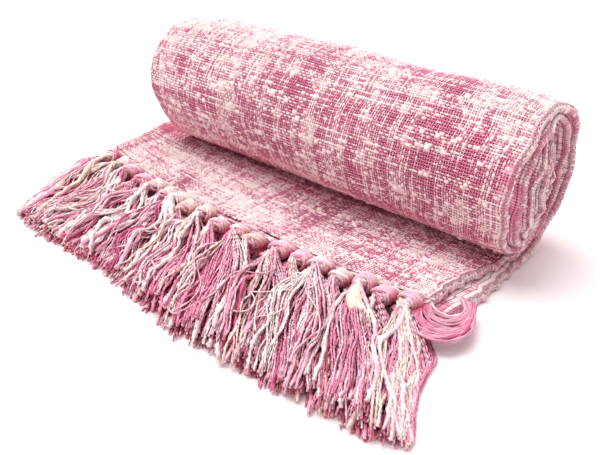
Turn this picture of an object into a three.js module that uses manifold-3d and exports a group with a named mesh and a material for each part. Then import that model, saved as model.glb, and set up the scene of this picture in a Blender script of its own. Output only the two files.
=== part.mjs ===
// A fringed sofa throw in slub cotton. It is folded in half crosswise, so that both fringed
// ends lie together, folded back and forth in four across its width, and rolled up from the
// fold towards the fringe. The fringed end lies flat on the surface in front of the roll.
//
// Millimetres. X runs along the roll, -Y is the fringed front and Z is up.

import * as THREE from 'three';
import { mergeVertices } from 'three/addons/utils/BufferGeometryUtils.js';
import Module from 'manifold-3d';

const wasm = await Module();
wasm.setup();

// The folded cloth
const SHEET = 2.6; // two thicknesses of the cloth, pressed together
const SHEET_GAP = 0.4;
const SHEETS = 4;
const BAND = SHEETS * SHEET + (SHEETS - 1) * SHEET_GAP;

// The roll
const TURN_GAP = 0.5;
const PITCH = BAND + TURN_GAP;
const ROLL_RADIUS = 57.9; // outside of the first turn where it leaves the surface
const ROLL_TURNS = 3.42;
const OUTER_TURNS = 1.5; // turns with the finer steps
const OUTER_STEPS = 24; // steps in a turn
const INNER_STEPS = 12;
const FLAT_END = 7; // how far the flat stretch reaches behind the roll's centre line
const FACE_STEPS = 3; // straight steps across a sheet

// The fringed front edge of the cloth, bowed forwards in the middle
const FRONT_Y = -100;
const FRONT_MIDDLE_X = 170;
const FRONT_HALF_WIDTH = 180;
const FRONT_BOW_LEFT = 24;
const FRONT_BOW_RIGHT = 14;

// The fringe
const CLOTH_CLEARANCE = 0.3; // between the cloth's edge and the header strip
const HEADER_DEPTH = 3;
const KNOT_PITCH = 33;
const KNOT_SIZE = new THREE.Vector3(12.4, 12, 6.4);
const KNOT_SETBACK = 10.3; // from the cloth's edge to the middle of a knot
const NECK_WIDTH = 14; // where the warp ends leave the header
const NECK_WIDTH_AT_KNOT = 6;
const NECK_THICKNESS = 2.2;
const NECK_LEVEL = 1.2; // how far the neck runs level before it climbs to its knot
const LOCKS_PER_KNOT = 4;
const LOCK_PITCH = KNOT_PITCH / LOCKS_PER_KNOT;
const LOCK_ROOT_PITCH = 2.4; // where the locks leave their knot
const LOCK_WIDTH = 2.7;
const LOCK_HEIGHT = 2.8;
const TIP_Y = -187; // the fringe's cut ends at its left and right corners
const TIP_BOW = 15; // how much farther the middle of the cut ends reaches
const TIP_FROM_X = 20;
const TIP_WIDTH = 360;
const TIP_SPREAD = 0.05; // unevenness of the cut ends, as a share of the length
const LEAN_LEFT = 15; // sideways run of a lock from its knot to its tip
const LEAN_MOST = 60;
const LEAN_MOST_X = 250;
const LEAN_EASE = 0.15; // how much less it leans for each millimetre farther right
const CORNER_BULGE = 9; // how far the locks at the left corner bow outwards
const CORNER_WIDTH = 60;
const WAVE = 1.6;
const WAVE_COUNT = 1.1;
const WAVE_DRIFT = 200; // change of x over which the wave shifts by one period

// Where the folds and free edges lie along X. "turn" counts turns of the roll from the point
// where the cloth leaves the surface; the negative turns are the flat stretch in front, with
// -1 at the fringed edge. The roll is wound a little skewed, so its ends are telescoped.
const EDGES = [
  { turn: -1.00, outerFold: 326, innerFold: 314, middleFold: -7, outerEdge: -6, innerEdge: -10 },
  { turn: -0.65, outerFold: 326, innerFold: 313, middleFold: -15, outerEdge: -14, innerEdge: -20 },
  { turn: -0.30, outerFold: 322, innerFold: 315, middleFold: -22, outerEdge: -20, innerEdge: -29 },
  { turn: 0.00, outerFold: 318, innerFold: 316, middleFold: -26, outerEdge: -24, innerEdge: -33 },
  { turn: 0.12, outerFold: 316, innerFold: 314, middleFold: -23, outerEdge: -20, innerEdge: -26 },
  { turn: 0.27, outerFold: 318, innerFold: 315, middleFold: -11, outerEdge: -9, innerEdge: -14 },
  { turn: 0.40, outerFold: 324, innerFold: 319, middleFold: -4, outerEdge: -4, innerEdge: -6 },
  { turn: 0.55, outerFold: 328, innerFold: 331, middleFold: 1, outerEdge: -3, innerEdge: 1 },
  { turn: 0.64, outerFold: 332, innerFold: 335, middleFold: 3, outerEdge: -2, innerEdge: 3 },
  { turn: 0.76, outerFold: 328, innerFold: 333, middleFold: 6, outerEdge: 2, innerEdge: 6 },
  { turn: 0.86, outerFold: 323, innerFold: 329, middleFold: 11, outerEdge: 8, innerEdge: 9 },
  { turn: 1.00, outerFold: 318, innerFold: 320, middleFold: 12, outerEdge: 10, innerEdge: 8 },
  { turn: 1.25, outerFold: 309, innerFold: 307, middleFold: 4, outerEdge: 2, innerEdge: 5 },
  { turn: 1.40, outerFold: 311, innerFold: 310, middleFold: 3, outerEdge: 1, innerEdge: 2 },
  { turn: 1.63, outerFold: 338, innerFold: 340, middleFold: 6, outerEdge: 3, innerEdge: 7 },
  { turn: 1.80, outerFold: 336, innerFold: 339, middleFold: 9, outerEdge: 7, innerEdge: 11 },
  { turn: 2.00, outerFold: 321, innerFold: 322, middleFold: 13, outerEdge: 10, innerEdge: 14 },
  { turn: 2.25, outerFold: 307, innerFold: 306, middleFold: 8, outerEdge: 6, innerEdge: 9 },
  { turn: 2.63, outerFold: 337, innerFold: 338, middleFold: 5, outerEdge: 3, innerEdge: 4 },
  { turn: 3.00, outerFold: 322, innerFold: 320, middleFold: 11, outerEdge: 9, innerEdge: 12 },
  { turn: 3.42, outerFold: 312, innerFold: 314, middleFold: 10, outerEdge: 8, innerEdge: 11 },
];

// Steps of the flat stretch, from the fringed edge to the roll
const FLAT_STEPS = [-1, -0.65, -0.3, 0];

// Heights of a lock's flat underside, along its length from its knot, for the four fringes
// from the lowest sheet to the top one. The second fringe sinks between the locks of the
// first, and the fourth between those of the third.
const LOCK_STATIONS = [
  { along: 0.00, heights: [1.6, 3.6, 8.6, 10.7] },
  { along: 0.20, heights: [0.0, 3.3, 6.6, 9.8] },
  { along: 0.45, heights: [0.0, 3.2, 6.4, 9.6] },
  { along: 0.72, heights: [0.0, 0.0, 3.2, 3.2] },
  { along: 1.00, heights: [0.0, 0.0, 3.2, 3.2] },
];
const GATHERED = 0.45; // share of its length in which a lock reaches its own place

// The four fringes. knotHeight is the middle of the knots; the knots of neighbouring sheets
// lie half a pitch apart, so that they stack no more than two high. lockShift moves the locks
// sideways, as a share of their pitch, so that those of neighbouring sheets alternate.
const FRINGES = [
  { name: 'fringe_lowest', firstKnotX: 21.5, knots: 10, knotHeight: 3.25, lockShift: 0.25 },
  { name: 'fringe_lower', firstKnotX: 5, knots: 10, knotHeight: 4.65, lockShift: -0.25 },
  { name: 'fringe_upper', firstKnotX: 21.5, knots: 9, knotHeight: 10.2, lockShift: 0.25 },
  { name: 'fringe_top', firstKnotX: 5, knots: 10, knotHeight: 11.6, lockShift: -0.25 },
];

// Materials, from the photographed cloth
function clothMaterial(color) {
  return new THREE.MeshStandardMaterial({ color, roughness: 0.95, metalness: 0 });
}

// A repeatable uneven value from 0 to 1 for a whole number
function uneven(n) {
  const wave = Math.sin(n * 127.1 + 11.7) * 43758.5;
  return wave - Math.floor(wave);
}

function frontEdgeY(x) {
  const bow = x < FRONT_MIDDLE_X ? FRONT_BOW_LEFT : FRONT_BOW_RIGHT;
  const offset = (x - FRONT_MIDDLE_X) / FRONT_HALF_WIDTH;
  return FRONT_Y + bow * offset * offset;
}

function edgesAt(turn) {
  const found = EDGES.findIndex((row) => row.turn >= turn);
  const next = found < 0 ? EDGES.length - 1 : Math.max(1, found);
  const before = EDGES[next - 1];
  const after = EDGES[next];
  const share = THREE.MathUtils.clamp((turn - before.turn) / (after.turn - before.turn), 0, 1);
  const edges = {};
  for (const side of ['outerFold', 'innerFold', 'middleFold', 'outerEdge', 'innerEdge']) {
    edges[side] = THREE.MathUtils.lerp(before[side], after[side], share);
  }
  return edges;
}

// The left and right ends of the straight stretch of one sheet
function sheetFace(edges, sheet) {
  const radius = SHEET + SHEET_GAP / 2;
  const lefts = [
    edges.outerEdge,
    edges.middleFold + radius,
    edges.middleFold + radius,
    edges.innerEdge,
  ];
  const rightFold = sheet < 2 ? edges.outerFold : edges.innerFold;
  return [lefts[sheet], rightFold - radius];
}

// The points at which a sheet's straight stretch may bend
function sheetBreaks([fromX, toX]) {
  const breaks = [];
  for (let i = 0; i <= FACE_STEPS; i += 1) {
    breaks.push(THREE.MathUtils.lerp(fromX, toX, i / FACE_STEPS));
  }
  return breaks;
}

// The fringed edge of one sheet, straight between the points at which it may bend
function sheetEdgeY(sheet, x) {
  const breaks = sheetBreaks(sheetFace(edgesAt(-1), sheet));
  const found = breaks.findIndex((b) => b >= x);
  const next = found < 0 ? FACE_STEPS : Math.max(1, found);
  const share = (x - breaks[next - 1]) / (breaks[next] - breaks[next - 1]);
  return THREE.MathUtils.lerp(frontEdgeY(breaks[next - 1]), frontEdgeY(breaks[next]), share);
}

// The back-and-forth section of the folded cloth, as { x, depth } points. Depth runs from
// the outside of the roll inwards, which is upwards in the flat stretch.
function foldedSection(edges) {
  const radius = SHEET + SHEET_GAP / 2;
  const step = SHEET + SHEET_GAP;
  const points = [];

  function face(fromX, toX, depth) {
    for (const x of sheetBreaks([fromX, toX])) points.push({ x, depth });
  }

  // the round outside of a fold; side is 1 on the right and -1 on the left
  function roundFold(foldX, fromDepth, side, inwards) {
    for (let i = 1; i < 4; i += 1) {
      const angle = (i / 4) * Math.PI;
      const across = foldX - side * radius + side * radius * Math.sin(angle);
      points.push({ x: across, depth: fromDepth + inwards * radius * (1 - Math.cos(angle)) });
    }
  }

  // the inside of a fold, where the narrow gap between two sheets ends
  function foldInside(foldX, depth, side) {
    points.push({ x: foldX - side * (radius - SHEET_GAP / 2), depth });
  }

  const [, right1] = sheetFace(edges, 0);
  const [left, right2] = sheetFace(edges, 2);

  face(edges.outerEdge, right1, 0);
  roundFold(edges.outerFold, 0, 1, 1);
  face(right1, left, 2 * radius);
  foldInside(edges.middleFold, 2 * radius + SHEET_GAP / 2, -1);
  face(left, right2, 2 * step);
  roundFold(edges.innerFold, 2 * step, 1, 1);
  face(right2, edges.innerEdge, BAND);
  face(edges.innerEdge, right2, BAND - SHEET);
  foldInside(edges.innerFold, BAND - SHEET - SHEET_GAP / 2, 1);
  face(right2, left, 2 * step + SHEET);
  roundFold(edges.middleFold, 2 * step + SHEET, -1, -1);
  face(left, right1, step);
  foldInside(edges.outerFold, step - SHEET_GAP / 2, 1);
  face(right1, edges.outerEdge, SHEET);
  return points.reverse();
}

// Places a section point at a turn of the roll, or in the flat stretch
function placeOnPath(turn, point) {
  if (turn <= 0) {
    const y = THREE.MathUtils.lerp(FLAT_END, frontEdgeY(point.x), -turn);
    return new THREE.Vector3(point.x, y, point.depth);
  }
  const angle = turn * 2 * Math.PI;
  const radius = ROLL_RADIUS - PITCH * turn - point.depth;
  return new THREE.Vector3(
    point.x,
    radius * Math.sin(angle),
    ROLL_RADIUS - radius * Math.cos(angle),
  );
}

// A closed solid from rings of like points, with flat ends. Seen from its far end, each ring
// runs anticlockwise.
function solidFromRings(rings, endTriangles) {
  const count = rings[0].length;
  const indices = [];
  for (let row = 0; row + 1 < rings.length; row += 1) {
    for (let i = 0; i < count; i += 1) {
      const next = (i + 1) % count;
      const a = row * count + i;
      const b = row * count + next;
      const c = a + count;
      const d = b + count;
      indices.push(a, b, d, a, d, c);
    }
  }
  const last = (rings.length - 1) * count;
  for (const [a, b, c] of endTriangles) {
    indices.push(a, c, b);
    indices.push(last + a, last + b, last + c);
  }
  const geometry = new THREE.BufferGeometry().setFromPoints(rings.flat());
  geometry.setIndex(indices);
  return geometry;
}

function turnStations() {
  const turns = [...FLAT_STEPS];
  const outerCount = Math.round(OUTER_TURNS * OUTER_STEPS);
  for (let i = 1; i <= outerCount; i += 1) turns.push(i / OUTER_STEPS);
  const innerCount = Math.floor((ROLL_TURNS - OUTER_TURNS) * INNER_STEPS);
  for (let i = 1; i <= innerCount; i += 1) turns.push(OUTER_TURNS + i / INNER_STEPS);
  return turns;
}

function rolledThrow() {
  const rings = turnStations().map((turn) => {
    return foldedSection(edgesAt(turn)).map((point) => placeOnPath(turn, point));
  });
  const outline = foldedSection(edgesAt(-1)).map((p) => new THREE.Vector2(p.x, p.depth));
  const way = Math.sign(THREE.ShapeUtils.area(outline));
  const endTriangles = THREE.ShapeUtils.triangulateShape(outline, []).map(([a, b, c]) => {
    const turnsBack = THREE.ShapeUtils.area([outline[a], outline[b], outline[c]]) * way < 0;
    return turnsBack ? [a, c, b] : [a, b, c];
  });
  return solidFromRings(rings, endTriangles);
}

// Solid geometry to and from the boolean library
function toSolid(geometry) {
  const bare = new THREE.BufferGeometry();
  bare.setAttribute('position', geometry.getAttribute('position').clone());
  if (geometry.index) bare.setIndex(geometry.index.clone());
  const merged = mergeVertices(bare, 1e-4);
  return new wasm.Manifold(new wasm.Mesh({
    numProp: 3,
    vertProperties: new Float32Array(merged.getAttribute('position').array),
    triVerts: new Uint32Array(merged.index.array),
  }));
}

function toGeometry(solid) {
  const mesh = solid.getMesh();
  const geometry = new THREE.BufferGeometry();
  geometry.setAttribute('position', new THREE.BufferAttribute(mesh.vertProperties, 3));
  geometry.setIndex(new THREE.BufferAttribute(mesh.triVerts, 1));
  return geometry;
}

const BOX_ENDS = [[0, 1, 2], [0, 2, 3]];

// The narrow strip of woven header along the fringed edge of one sheet
function headerStrip(sheet) {
  const bottom = sheet * (SHEET + SHEET_GAP);
  const top = bottom + SHEET;
  const rings = sheetBreaks(sheetFace(edgesAt(-1), sheet)).map((x) => {
    const back = frontEdgeY(x) - CLOTH_CLEARANCE;
    const front = back - HEADER_DEPTH;
    return [
      new THREE.Vector3(x, back, bottom),
      new THREE.Vector3(x, back, top),
      new THREE.Vector3(x, front, top),
      new THREE.Vector3(x, front, bottom),
    ];
  });
  return solidFromRings(rings, BOX_ENDS);
}

// The warp ends of one knot, drawn together between the header and the knot
function neck(knotX, edgeY, sheet, knotHeight) {
  const headerFront = edgeY - CLOTH_CLEARANCE - HEADER_DEPTH;
  const half = NECK_THICKNESS / 2;
  const headerHeight = sheet * (SHEET + SHEET_GAP) + SHEET / 2;
  const rings = [
    { y: headerFront + HEADER_DEPTH / 2, width: NECK_WIDTH, height: headerHeight },
    { y: headerFront - NECK_LEVEL, width: NECK_WIDTH * 0.8, height: headerHeight },
    { y: edgeY - KNOT_SETBACK + KNOT_SIZE.y * 0.2, width: NECK_WIDTH_AT_KNOT, height: knotHeight },
  ].map(({ y, width, height }) => [
    new THREE.Vector3(knotX - width / 2, y, height - half),
    new THREE.Vector3(knotX + width / 2, y, height - half),
    new THREE.Vector3(knotX + width / 2, y, height + half),
    new THREE.Vector3(knotX - width / 2, y, height + half),
  ]);
  return solidFromRings(rings, BOX_ENDS);
}

function knot(knotX, knotY, knotHeight) {
  const geometry = new THREE.SphereGeometry(0.5, 6, 4);
  geometry.rotateX(Math.PI / 2);
  geometry.scale(KNOT_SIZE.x, KNOT_SIZE.y, KNOT_SIZE.z);
  geometry.translate(knotX, knotY, knotHeight);
  return geometry;
}

function leanAt(x) {
  const share = THREE.MathUtils.clamp(x / LEAN_MOST_X, 0, 1);
  const ease = LEAN_EASE * Math.max(0, x - LEAN_MOST_X);
  return LEAN_LEFT + (LEAN_MOST - LEAN_LEFT) * Math.sin((share * Math.PI) / 2) - ease;
}

function tipY(tipX) {
  const share = THREE.MathUtils.clamp((tipX - TIP_FROM_X) / TIP_WIDTH, 0, 1);
  return TIP_Y - TIP_BOW * Math.sin(Math.PI * share);
}

// One lock of the fringe: three-sided, flat underneath, from its knot to its cut end.
// "place" counts the locks of a knot from its middle.
function lock(knotX, knotY, place, sheet, number) {
  const ownX = knotX + (place + FRINGES[sheet].lockShift) * LOCK_PITCH;
  const rootX = knotX + place * LOCK_ROOT_PITCH;
  const startY = frontEdgeY(ownX) - KNOT_SETBACK - 2;
  const lean = leanAt(ownX);
  const endY = tipY(ownX + lean);
  const bulge = CORNER_BULGE * Math.max(0, 1 - ownX / CORNER_WIDTH);
  const reach = 1 + TIP_SPREAD * (2 * uneven(number) - 1);
  const rings = LOCK_STATIONS.map(({ along, heights }) => {
    const u = along === 1 ? reach : along;
    const spread = THREE.MathUtils.smoothstep(u, 0, GATHERED);
    const wave = WAVE * Math.sin(2 * Math.PI * (WAVE_COUNT * u + ownX / WAVE_DRIFT)) * spread;
    const bowed = bulge * Math.sin(Math.PI * Math.min(1, u));
    const x = THREE.MathUtils.lerp(rootX, ownX, spread) + lean * u + wave - bowed;
    const freeY = THREE.MathUtils.lerp(startY, endY, u);
    const y = THREE.MathUtils.lerp(knotY - 2, freeY, Math.min(1, u / LOCK_STATIONS[1].along));
    const bottom = heights[sheet];
    return [
      new THREE.Vector3(x - LOCK_WIDTH / 2, y, bottom),
      new THREE.Vector3(x + LOCK_WIDTH / 2, y, bottom),
      new THREE.Vector3(x, y, bottom + LOCK_HEIGHT),
    ];
  });
  return solidFromRings(rings, [[0, 1, 2]]);
}

function fringeGeometry({ firstKnotX, knots, knotHeight }, sheet) {
  const pieces = [headerStrip(sheet)];
  for (let i = 0; i < knots; i += 1) {
    const knotX = firstKnotX + i * KNOT_PITCH;
    const edgeY = sheetEdgeY(sheet, knotX);
    const knotY = edgeY - KNOT_SETBACK;
    pieces.push(neck(knotX, edgeY, sheet, knotHeight));
    pieces.push(knot(knotX, knotY, knotHeight));
    for (let j = 0; j < LOCKS_PER_KNOT; j += 1) {
      const place = j - (LOCKS_PER_KNOT - 1) / 2;
      const number = (sheet * knots + i) * LOCKS_PER_KNOT + j;
      pieces.push(lock(knotX, knotY, place, sheet, number));
    }
  }
  return toGeometry(pieces.map(toSolid).reduce((whole, piece) => whole.add(piece)));
}

const throwMesh = new THREE.Mesh(rolledThrow(), clothMaterial('#d98fae'));
throwMesh.name = 'throw';

const model = new THREE.Group();
model.add(throwMesh);
FRINGES.forEach((fringe, sheet) => {
  const mesh = new THREE.Mesh(fringeGeometry(fringe, sheet), clothMaterial('#e7b3c6'));
  mesh.name = fringe.name;
  model.add(mesh);
});

// The origin is the middle of the underside of the whole object's box
const box = new THREE.Box3().setFromObject(model);
model.position.set(-(box.min.x + box.max.x) / 2, -(box.min.y + box.max.y) / 2, -box.min.z);

const folded = new THREE.Group();
folded.add(model);

export default folded;
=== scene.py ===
# A folded and rolled sofa throw of pink and cream slub cotton with a knotted fringe.
#
# Lengths are in millimetres in the throw's own frame: X runs along the roll from its left
# end, Y = 0 is the roll's axis with the fringed front at -Y, and Z = 0 is the surface.
# to_frame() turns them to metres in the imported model's frame.

import math

import bmesh
import bpy
import numpy as np
from mathutils import Matrix, Vector


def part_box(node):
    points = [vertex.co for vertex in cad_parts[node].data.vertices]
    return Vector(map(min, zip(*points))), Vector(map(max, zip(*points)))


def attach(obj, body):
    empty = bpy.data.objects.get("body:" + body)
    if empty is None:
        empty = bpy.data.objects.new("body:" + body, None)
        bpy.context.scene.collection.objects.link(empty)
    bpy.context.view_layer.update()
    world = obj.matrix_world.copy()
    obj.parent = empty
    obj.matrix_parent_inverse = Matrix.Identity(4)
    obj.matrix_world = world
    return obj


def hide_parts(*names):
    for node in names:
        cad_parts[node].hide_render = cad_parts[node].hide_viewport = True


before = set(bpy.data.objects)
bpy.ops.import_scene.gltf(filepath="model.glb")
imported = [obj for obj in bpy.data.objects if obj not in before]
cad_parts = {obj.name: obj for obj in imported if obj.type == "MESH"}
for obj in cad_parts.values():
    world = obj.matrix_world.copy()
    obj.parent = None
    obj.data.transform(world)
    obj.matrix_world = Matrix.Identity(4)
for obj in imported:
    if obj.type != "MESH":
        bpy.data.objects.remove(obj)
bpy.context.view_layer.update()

# The folded cloth: one cloth of single plies, folded in half and then in four
CLOTH_WIDTH = 1280.0
PLY = 1.15
PLY_PITCH = 1.3
SHEET = 2 * PLY_PITCH  # two plies, pressed together
SHEET_GAP = 0.4
SHEETS = 4
SHEET_STEP = SHEET + SHEET_GAP
BAND = SHEETS * SHEET + (SHEETS - 1) * SHEET_GAP
FOLD_REACH = SHEET + SHEET_GAP / 2  # from a fold's centre to its outside

# The roll
TURN_GAP = 0.5
PITCH = BAND + TURN_GAP
ROLL_RADIUS = 57.9
ROLL_TURNS = 3.42
FLAT_LENGTH = 107.0
RIGHT_END_PULL = 2.6  # how far the roll is drawn in at its ends
LEFT_END_PULL = 3.4

# The fringed front edge, bowed forwards in the middle
FRONT_Y = -100.0
FRONT_MIDDLE_X = 170.0
FRONT_HALF_WIDTH = 180.0
FRONT_BOW_LEFT = 24.0
FRONT_BOW_RIGHT = 14.0

# From the throw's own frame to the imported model's box
HEADER_REACH = 33.0  # the cloth's farthest point left of the roll's end
BACK_REACH = 54.875  # the roll's farthest point behind its axis

# Where the folds and free edges lie along X, for each turn of the roll. Negative turns are
# the flat stretch, with -1 at its fringed edge.
EDGE_NAMES = ("turn", "outer_fold", "inner_fold", "middle_fold", "outer_edge", "inner_edge")
EDGE_ROWS = [
    (-1.00, 326, 314, -7, -6, -10),
    (-0.65, 326, 313, -15, -14, -20),
    (-0.30, 322, 315, -22, -20, -29),
    (0.00, 318, 316, -26, -24, -33),
    (0.12, 316, 314, -23, -20, -26),
    (0.27, 318, 315, -11, -9, -14),
    (0.40, 324, 319, -4, -4, -6),
    (0.55, 328, 331, 1, -3, 1),
    (0.64, 332, 335, 3, -2, 3),
    (0.76, 328, 333, 6, 2, 6),
    (0.86, 323, 329, 11, 8, 9),
    (1.00, 318, 320, 12, 10, 8),
    (1.25, 309, 307, 4, 2, 5),
    (1.40, 311, 310, 3, 1, 2),
    (1.63, 338, 340, 6, 3, 7),
    (1.80, 336, 339, 9, 7, 11),
    (2.00, 321, 322, 13, 10, 14),
    (2.25, 307, 306, 8, 6, 9),
    (2.63, 337, 338, 5, 3, 4),
    (3.00, 322, 320, 11, 9, 12),
    (3.42, 312, 314, 10, 8, 11),
]
EDGE_TABLE = {name: np.array(column, float) for name, column in zip(EDGE_NAMES, zip(*EDGE_ROWS))}
EDGE_SOFTNESS = 0.035  # turns over which the table's corners are rounded
FOLD_WAVE = 0.9  # how far the folds and free edges wander along X

# Parts of the folded section, from the outer free edge to the inner one
SHEET_1, RIGHT_FOLD_1, SHEET_2, LEFT_FOLD, SHEET_3, RIGHT_FOLD_2, SHEET_4 = range(7)
OUTER_PLY, INNER_PLY = 0, 1

# The weave
WARP_PITCH = 1.85
WEFT_PITCH = 2.06
WARPS_IN_SHEET = round(CLOTH_WIDTH / SHEETS / WARP_PITCH)
WARPS_IN_FOLD = 4
WHITE_FROM = -0.46  # where on its noise a yarn starts to turn white, and where it is white
WHITE_TO = 0.46
FLOAT_HALF_LENGTH = 0.66  # of a raised yarn, in pitches of the yarns that it crosses
FLOAT_HALF_WIDTH = 0.45  # in pitches of its own yarns
FLOAT_RISE = 0.5
FLOAT_SINK = 0.15

# How many yarns side by side share a colour, the length of a colour in crossings, and how
# strongly the yarns are beaded and slubbed
WARP_UNEVEN = (5.0, 12, 0.3, 0.6)
WEFT_UNEVEN = (4.0, 13, 0.75, 1.5)

# Where the cloth is whiter (+) or pinker (-), along X and by turn of the roll
CHART_X = (0, 80, 160, 240, 320)
WHITE_CHART = [
    (-1.00, 0.10, 0.10, 0.16, 0.26, 0.26),
    (-0.70, 0.14, 0.20, 0.18, 0.26, 0.30),
    (-0.35, -0.08, -0.05, 0.00, 0.05, 0.08),
    (-0.05, -0.25, -0.25, -0.22, -0.20, -0.18),
    (0.40, 0.10, 0.10, 0.05, 0.05, 0.05),
    (0.50, 0.36, 0.32, 0.16, 0.12, 0.12),
    (0.60, 0.26, 0.22, 0.06, 0.04, 0.06),
    (0.70, 0.00, -0.02, -0.12, -0.16, -0.04),
    (0.80, -0.14, -0.12, -0.20, -0.18, -0.08),
    (0.90, -0.26, -0.26, -0.26, -0.22, -0.18),
    (1.00, -0.30, -0.30, -0.30, -0.30, -0.30),
    (1.20, 0.00, 0.00, 0.00, 0.00, 0.00),
]

# The fringe
KNOT_PITCH = 33.0
KNOT_SETBACK = 10.3  # from the cloth's edge to the middle of a knot
CLOTH_RIGHT = 315.0  # no warp end starts farther right than this
TIP_X = (-10, 16, 30, 60, 140, 190, 228, 300, 355, 378)  # the line on which the yarns end
TIP_Y = (-150, -172, -186, -190, -191, -197, -203, -199, -197, -188)
LEFT_TIP_X = 22.0  # tips past these keep only a share of what they stray
RIGHT_TIP_X = 371.0
LEFT_TIP_GIVE = 0.25
RIGHT_TIP_GIVE = 0.2
SIDE_Y = (-200, -188, -174, -155, -139, -110, -95)  # and how far it reaches to either side
LEFT_SIDE = (34, 29, 21, 7, -3, -16, -20)
RIGHT_SIDE = (377, 374, 363, 351, 345, 341, 338)
SIDE_GIVE = 0.2  # the share that a yarn keeps of what it strays past them
SIDE_HEIGHT = 3.0  # of the pile at its outlines, and how it rises from them
SIDE_SLOPE = 0.42
LEAN_X = (0, 43, 116, 170, 243, 305)  # how far the yarns lean to the right along the edge
LEAN = (17, 27, 40, 56, 60, 64)
CORNER_BULGE = 25.0  # how far the first bundle swells out to the left
CORNER_WIDTH = 42.0
LOCK_SPREAD = 19.0  # how far a bundle's outermost locks fan out from it
YARN_OVAL = 0.12  # how far a yarn's section is from round
FLOOR_CLEAR = 0.1
PILE_NESTING = 0.36  # how much of its own thickness a yarn adds to the pile
SHADE_FROM = 0.3  # depth in the pile where it starts to darken, and where most light is gone
SHADE_DEPTH = 2.4
FIBRES_AROUND = 7.0  # streaks of fibres round a yarn, and along one twist of it
FIBRES_PER_TWIST = 2.5

# Points along a yarn: from the cloth's edge to its knot, through the knot, and beyond it
NECK_STATIONS = 4
KNOT_STATIONS = 5
FREE_STATIONS = 34
BOUND_STATIONS = NECK_STATIONS + KNOT_STATIONS
STATIONS = BOUND_STATIONS + FREE_STATIONS
FREE_SHARE = np.linspace(0, 1, FREE_STATIONS + 1)[1:]

# Width, length and height of a knot, its bundle's twist in it, and the wraps round it
BIG_KNOT = (14.0, 13.0, 11.5)
SMALL_KNOT = (12.0, 11.5, 6.6)
KNOT_TWIST = 2.0
WRAPS = 9
OVER_WRAPS = 3  # that cross the others
WRAP_STATIONS = 14
WRAP_ANGLE = 2 * math.pi * 1.12
# Where along X and how high the pile is raised for painted shade under the row of knots
KNOT_ROW_X = (-12.0, 318.0)
KNOT_ROW_TOP = 12.5

# How high over its sheet's top the last wefts lie that have slipped off the cloth's edge
SLIPPED_WEFTS = {"fringe_upper": -0.4, "fringe_top": 0.2}

# The hooked bundle at the right, by its innermost and its outermost arc
CURL_YARNS = 34
CURL_STRAND = 5  # yarns of one colour that lie side by side
CURL_SHADE = np.array([0.86, 0.72, 0.78])
CURL_INSIDE = [
    (312, -89, 9.5), (319, -96, 9.5), (327, -97, 8.5), (332, -92, 8.0), (332, -85, 8.5),
    (328, -79, 9.0), (322, -75, 9.5),
]
CURL_OUTSIDE = [
    (308, -99, 8.5), (317, -115, 6.5), (331, -124, 4.0), (343, -119, 4.0), (347, -104, 4.5),
    (341, -90, 6.0), (333, -77, 7.0),
]
STRAYS = 18  # single yarns that wander across the others

# Middle line and radius of the unspun lump and of its side lump, each with a tail
SLUB_LUMPS = [
    [
        (278, -112, 16.5, 1.8), (281, -118, 17.5, 2.2), (284, -124, 17.0, 3.4),
        (288, -129, 15.5, 4.5), (291, -133, 14.0, 4.0), (295, -137, 13.5, 2.0),
        (299, -141, 13.0, 1.5), (304, -147, 12.5, 1.3), (309, -157, 11.0, 1.0),
    ],
    [
        (288, -125, 14.5, 2.0), (291, -128, 15.0, 2.4), (294, -131, 15.0, 2.7),
        (297, -132, 14.5, 2.2), (299, -132, 14.0, 1.3), (301, -133, 13.5, 1.1),
        (304, -137, 13.0, 1.2), (308, -143, 12.0, 0.9),
    ],
]

# The four fringes from the lowest sheet up: sheet, knots' places along the edge, their height
# and size, and the locks of each bundle
FRINGES = [
    ("fringe_lowest", 0, (22, 55, 88, 121, 154, 187, 220, 253, 286, 317), 3.6, SMALL_KNOT, 6),
    ("fringe_lower", 1, (5, 38, 71, 104, 137, 170, 203, 236, 269, 302), 4.4, SMALL_KNOT, 6),
    ("fringe_upper", 2, (25, 60, 93, 121, 156, 189, 228, 259, 290), 10.6, BIG_KNOT, 7),
    ("fringe_top", 3, (6, 43, 77, 107, 139, 174, 213, 243, 275, 305), 12.2, BIG_KNOT, 8),
]

# Locks of yarns that lie side by side: share of all locks, fewest and most yarns, smallest and
# largest radius, lumpiness, length of a full twist
FINE, ROVING, MIXED = range(3)
LOCK_SHARES = (0.40, 0.32, 0.28)
LOCK_KINDS = [
    (6, 9, 0.54, 0.74, 0.14, 11.0),
    (1, 2, 1.15, 1.65, 0.40, 17.0),
    (3, 6, 0.62, 1.15, 0.28, 14.0),
]

# Camera, fitted to the throw's outline in the photograph
CAMERA_PLACE = (550.595, -450.585, 260.356)
CAMERA_AZIMUTH = math.radians(43.469)
CAMERA_DOWN = math.radians(25.813)
CAMERA_ROLL = math.radians(1.010)
CAMERA_LENS = 51.98
CAMERA_SENSOR = 36.0

# Light: a broad overhead key from the upper left, and an even surround
WORLD_LIGHT = 0.87
WORLD_COLOR = "#ffeff2"
KEY_LIGHT = 2.8
KEY_WIDTH = 55.0
KEY_FROM = (-0.38, -0.05, 1.0)
FLOOR_COLOR = "#f7f6f6"

# Colours of the yarns in the weave and in the fringe
PINK = "#ea88ab"
DEEP_PINK = "#d5618b"
LIGHT_PINK = "#f4bfcf"
WHITE = "#fbf3f0"
CREAM = "#f5e8d4"
FRINGE_PINK = "#f09bba"
FRINGE_DEEP_PINK = "#dc6c96"
FRINGE_LIGHT_PINK = "#f6cbd8"
FRINGE_WHITE = "#fdf3ef"
FRINGE_CREAM = "#faeddb"
FRINGE_SALMON = "#efb0a6"
HOLE_SHADE_IN_PINK = "#6b1535"  # painted shade that shows through the open weave between pink yarns
HOLE_SHADE_IN_WHITE = "#8f6468"  # and between white ones

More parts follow.
